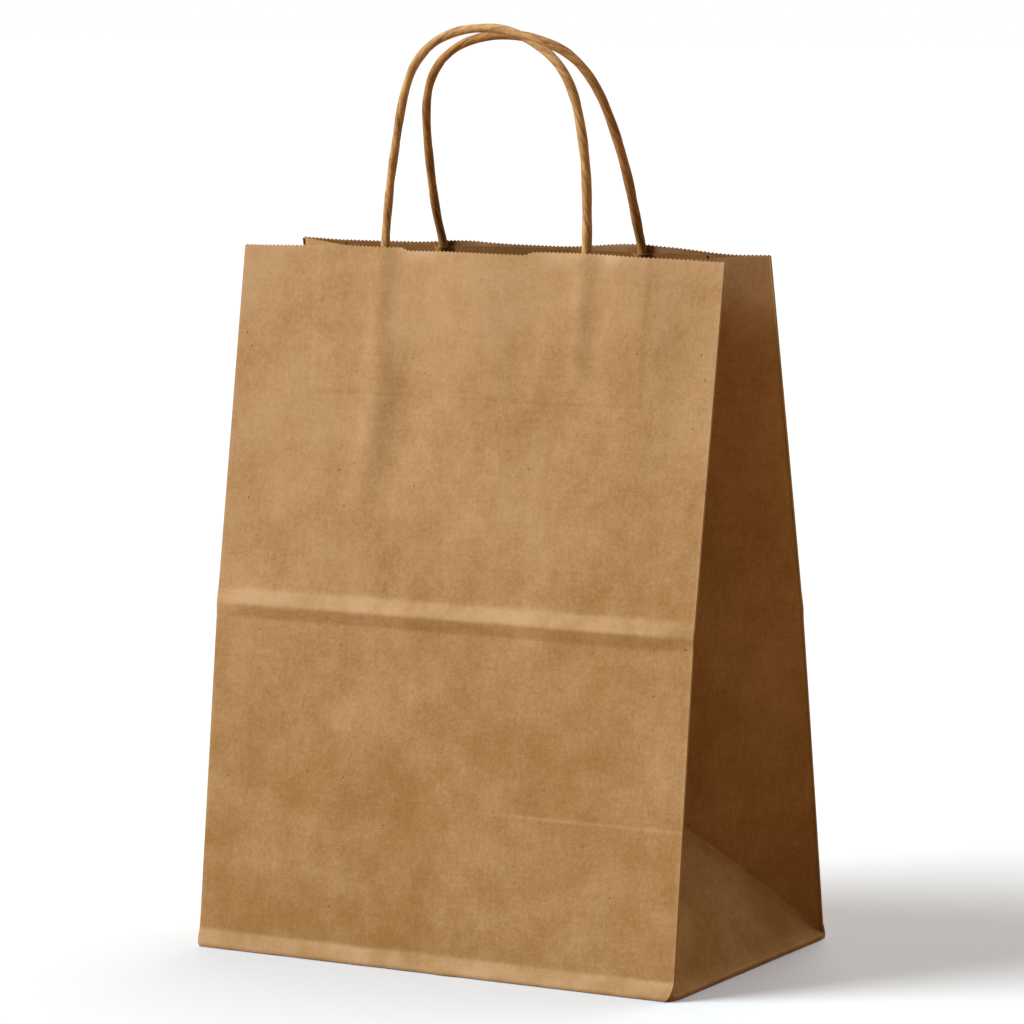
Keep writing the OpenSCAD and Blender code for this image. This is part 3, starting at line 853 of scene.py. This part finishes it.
def cord_tube(name, path, far, radius, turn, seed, finish):
    """A wound paper cord along a path: a flattened, uneven roll with a deep and a shallow groove."""
    sides = 30
    tangent = np.gradient(path, axis=0)
    tangent /= np.linalg.norm(tangent, axis=1, keepdims=True)
    first = np.cross(tangent, (0.0, 1.0, 0.0))
    first /= np.linalg.norm(first, axis=1, keepdims=True)
    second = np.cross(first, tangent)
    verts, groove, coords = [], [], []
    for i, (p, along) in enumerate(zip(path, far)):
        wind = 2 * math.pi * along / turn + 0.5 * noise.noise(Vector((along * 45, seed, 0)))
        plump = 1 + 0.05 * noise.noise(Vector((along * 120, seed, 5)))
        plump += 0.07 * noise.noise(Vector((along * 22, seed, 9)))
        plump *= 0.98 + 0.10 * smooth(along / far[-1], 0.35, 0.75)
        for j in range(sides):
            angle = 2 * math.pi * j / sides
            strand = angle - wind
            deep, shallow = groove_depth(strand, 0.34), 0.6 * groove_depth(strand - 2.6, 0.26)
            flat = 1 + 0.045 * math.cos(2 * (strand - 0.8))
            ring = radius * plump * flat * (1 - 0.13 * deep ** 1.4 - 0.06 * shallow)
            verts.append(p + ring * (math.cos(angle) * first[i] + math.sin(angle) * second[i]))
            # Groove mask, used for painted shade in the cord's material.
            groove.append(min(1.0, deep ** 1.3 + shallow * 0.8))
            coords.append((strand / (2 * math.pi), along / 0.01))
    rings = len(path)
    faces = [[i * sides + j, i * sides + (j + 1) % sides, (i + 1) * sides + (j + 1) % sides,
              (i + 1) * sides + j] for i in range(rings - 1) for j in range(sides)]
    faces += [list(range(sides))[::-1], [(rings - 1) * sides + j for j in range(sides)]]
    mesh = bpy.data.meshes.new(name)
    mesh.from_pydata([tuple(v) for v in verts], [], faces)
    mesh.update()
    mesh.shade_smooth()
    mark = mesh.attributes.new("groove", "FLOAT", "POINT")
    mark.data.foreach_set("value", groove)
    layer = mesh.uv_layers.new(name="wound")
    for polygon in mesh.polygons:
        for loop in polygon.loop_indices:
            layer.data[loop].uv = coords[mesh.loops[loop].vertex_index]
    mesh.materials.append(finish_named(finish))
    piece = bpy.data.objects.new(name, mesh)
    bpy.context.scene.collection.objects.link(piece)
    return piece


# ---------------------------------------------------------------- operators

class GIFTBAG_OT_panels(bpy.types.Operator):
    """Make the front and back panels"""
    bl_idname = "giftbag.panels"
    bl_label = "Panels"

    def execute(self, context):
        bag = FoldedBag()
        for side, word in SIDES.items():
            piece = panel_sheet(bag, side, word + "_sheet")
            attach(piece, word + "_side")
            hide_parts(word + "_panel")
        return {"FINISHED"}


class GIFTBAG_OT_gussets(bpy.types.Operator):
    """Make the folded side gussets"""
    bl_idname = "giftbag.gussets"
    bl_label = "Gussets"

    def execute(self, context):
        bag = FoldedBag()
        for side, word in SIDES.items():
            axis = Vector((0, -side * bag.fold_line(side, 0)[2], 1)).normalized()
            for right, hand in HANDS.items():
                half = f"{hand}_gusset_{word}"
                upper = gusset_upper(bag, side, right, half + "_upper")
                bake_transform(upper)
                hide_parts(half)
                lower = gusset_lower(bag, side, right, half + "_lower")
                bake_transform(lower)
                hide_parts(half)
        return {"FINISHED"}


class GIFTBAG_OT_bottom(bpy.types.Operator):
    """Make the bottom triangles and finish the bottom flaps and the seam"""
    bl_idname = "giftbag.bottom"
    bl_label = "Bottom"

    def execute(self, context):
        bag = FoldedBag()
        for right, hand in HANDS.items():
            piece = bottom_triangle(bag, right, hand + "_foot_triangle")
            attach(piece, hand + "_bottom_fold")
            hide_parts(hand + "_bottom_triangle")
        for word in (*SIDES.values(), *HANDS.values()):
            piece = bottom_flap(bag, word + "_bottom_flap", word + "_floor_sheet")
            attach(piece, "base")
            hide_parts(word + "_bottom_flap")
        grid = [[bag.panel(1, x, s, bag.sizes.paper * 1.05) for x in steps(-0.0985, -0.0825, 0.002)]
                for s in steps(0.002, bag.length[1] - RIM_GAP, 0.0022)]
        # Painted shade: the seam lap takes the deepened copy of the paper.
        lap = paper_sheet("back_seam", grid, "inner_kraft", bag.sizes.paper)
        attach(lap, "back_side")
        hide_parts("back_seam_lap")
        return {"FINISHED"}


class GIFTBAG_OT_patches(bpy.types.Operator):
    """Make the glued handle patches"""
    bl_idname = "giftbag.patches"
    bl_label = "Handle patches"

    def execute(self, context):
        bag = FoldedBag()
        for side, word in SIDES.items():
            backing, cover = patch_sheets(bag, side, word + "_handle_patch")
            for piece, node in ((backing, "_patch_backing"), (cover, "_patch_cover")):
                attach(piece, word + "_side")
                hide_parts(word + node)
        return {"FINISHED"}


class GIFTBAG_OT_handles(bpy.types.Operator):
    """Make the twisted cord handles"""
    bl_idname = "giftbag.handles"
    bl_label = "Handles"

    def execute(self, context):
        bag = FoldedBag()
        handle = bag.handle
        for side, word in SIDES.items():
            path, far = cord_path(bag, side)
            # The back cord takes the copy of the cord with painted shade.
            cord = cord_tube(word + "_twisted_cord", path, far, handle.radius, handle.turn, 3.0 + side,
                             word + "_cord_kraft")
            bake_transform(cord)
            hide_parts(word + "_handle_cord", word + "_left_cord_end", word + "_right_cord_end")
        return {"FINISHED"}


def lay_floor(scene):
    """A pale floor with the bag's shadow; the bag itself is lit by it as by brown ground."""
    finish = Finish(bpy.data.materials.new("studio_floor"))
    seen = finish.add("ShaderNodeLightPath", output=0)
    shiny = finish.add("ShaderNodeLightPath", output=3)
    plain = finish.add("ShaderNodeBsdfDiffuse", {}, {"Color": (0.42, 0.25, 0.12, 1)})
    pale = finish.add("ShaderNodeBsdfDiffuse", {}, {"Color": (0.83, 0.90, 0.93, 1)})
    glow = finish.add("ShaderNodeEmission", {}, {"Color": (0, 0.3, 1, 1), "Strength": 0.06})
    both = finish.add("ShaderNodeAddShader", {}, [pale, glow])
    share = finish.add("ShaderNodeMath", {"operation": "MAXIMUM"}, [seen, shiny])
    mesh = bpy.data.meshes.new("studio_floor")
    half = 8
    mesh.from_pydata([(-half, -half, 0), (half, -half, 0), (half, half, 0), (-half, half, 0)], [],
                     [(0, 1, 2, 3)])
    mesh.materials.append(finish.end(finish.add("ShaderNodeMixShader", {}, [share, plain, both])))
    floor = bpy.data.objects.new("studio_floor", mesh)
    scene.collection.objects.link(floor)


def studio_world(fill):
    """White where the camera sees it, and an even warm light everywhere else."""
    finish = Finish(bpy.data.worlds.new("studio"))
    seen = finish.add("ShaderNodeLightPath", output=0)
    soft = finish.add("ShaderNodeBackground", {}, {"Color": (1.0, 0.70, 0.42, 1), "Strength": fill})
    white = finish.add("ShaderNodeBackground", {}, {"Color": (1, 1, 1, 1), "Strength": 1.0})
    return finish.end(finish.add("ShaderNodeMixShader", {}, [seen, soft, white]), "ShaderNodeOutputWorld")


def hang_lamp(scene, name, strength, wide, colour, source):
    """A far lamp, as wide as it looks in degrees, shining from source toward the bag."""
    lamp = bpy.data.lights.new(name, "SUN")
    lamp.energy, lamp.angle, lamp.color = strength, math.radians(wide), colour
    light = bpy.data.objects.new(name, lamp)
    scene.collection.objects.link(light)
    light.rotation_euler = Vector(source).to_track_quat("Z", "Y").to_euler()


def set_camera(scene, settings):
    """The camera, turned about the point that it looks at."""
    az, el = settings.azimuth, settings.elevation
    back = Vector((math.sin(az) * math.cos(el), -math.cos(az) * math.cos(el), math.sin(el)))
    ahead = -back
    right = ahead.cross(Vector((0, 0, 1))).normalized()
    up = right.cross(ahead)
    c, s = math.cos(settings.roll), math.sin(settings.roll)
    right, up = right * c + up * s, up * c - right * s
    lens = bpy.data.cameras.new("camera")
    lens.lens, lens.sensor_width = settings.lens, 36.0
    lens.clip_end = 50
    camera = bpy.data.objects.new("camera", lens)
    scene.collection.objects.link(camera)
    turn = Matrix((right, up, -ahead)).transposed().to_4x4()
    camera.matrix_world = Matrix.Translation(Vector(settings.aim) + back * settings.distance) @ turn
    return camera


class GIFTBAG_OT_stage(bpy.types.Operator):
    """Set up the floor, the light and the camera"""
    bl_idname = "giftbag.stage"
    bl_label = "Stage"

    def execute(self, context):
        scene, settings = context.scene, context.scene.stage_settings
        scene.view_settings.view_transform = "Standard"
        lay_floor(scene)
        scene.world = studio_world(settings.fill)
        hang_lamp(scene, "key", settings.key, 34, (1.0, 1.0, 1.0), (-0.67, -0.51, 0.54))
        hang_lamp(scene, "back", settings.back, 45, (1.0, 0.90, 0.80), (0.05, 0.42, 0.90))
        scene.camera = set_camera(scene, settings)
        return {"FINISHED"}


class GIFTBAG_PT_sidebar(bpy.types.Panel):
    """Buttons and sizes of the gift bag"""
    bl_label = "Gift Bag"
    bl_idname = "GIFTBAG_PT_sidebar"
    bl_space_type = "VIEW_3D"
    bl_region_type = "UI"
    bl_category = "Gift Bag"

    def draw(self, context):
        for operator in OPERATORS:
            self.layout.operator(operator.bl_idname)
        for name in GROUPS:
            group = getattr(context.scene, name)
            box = self.layout.box()
            for key in group.bl_rna.properties.keys():
                if key not in ("rna_type", "name"):
                    box.prop(group, key)


GROUPS = {"bag_sizes": BagSizes, "handle_sizes": HandleSizes, "bag_colours": BagColours,
          "stage_settings": StageSettings}
OPERATORS = (GIFTBAG_OT_stage, GIFTBAG_OT_panels, GIFTBAG_OT_gussets, GIFTBAG_OT_bottom,
             GIFTBAG_OT_patches, GIFTBAG_OT_handles)


def register():
    for kind in (*GROUPS.values(), *OPERATORS, GIFTBAG_PT_sidebar):
        bpy.utils.register_class(kind)
    for name, kind in GROUPS.items():
        setattr(bpy.types.Scene, name, bpy.props.PointerProperty(type=kind))


def unregister():
    for name in GROUPS:
        delattr(bpy.types.Scene, name)
    for kind in (GIFTBAG_PT_sidebar, *OPERATORS[::-1], *list(GROUPS.values())[::-1]):
        bpy.utils.unregister_class(kind)


def main():
    register()
    bpy.ops.giftbag.stage()
    bpy.ops.giftbag.panels()
    bpy.ops.giftbag.gussets()
    bpy.ops.giftbag.bottom()
    bpy.ops.giftbag.patches()
    bpy.ops.giftbag.handles()
    bpy.context.view_layer.update()


if __name__ == "__main__":
    main()
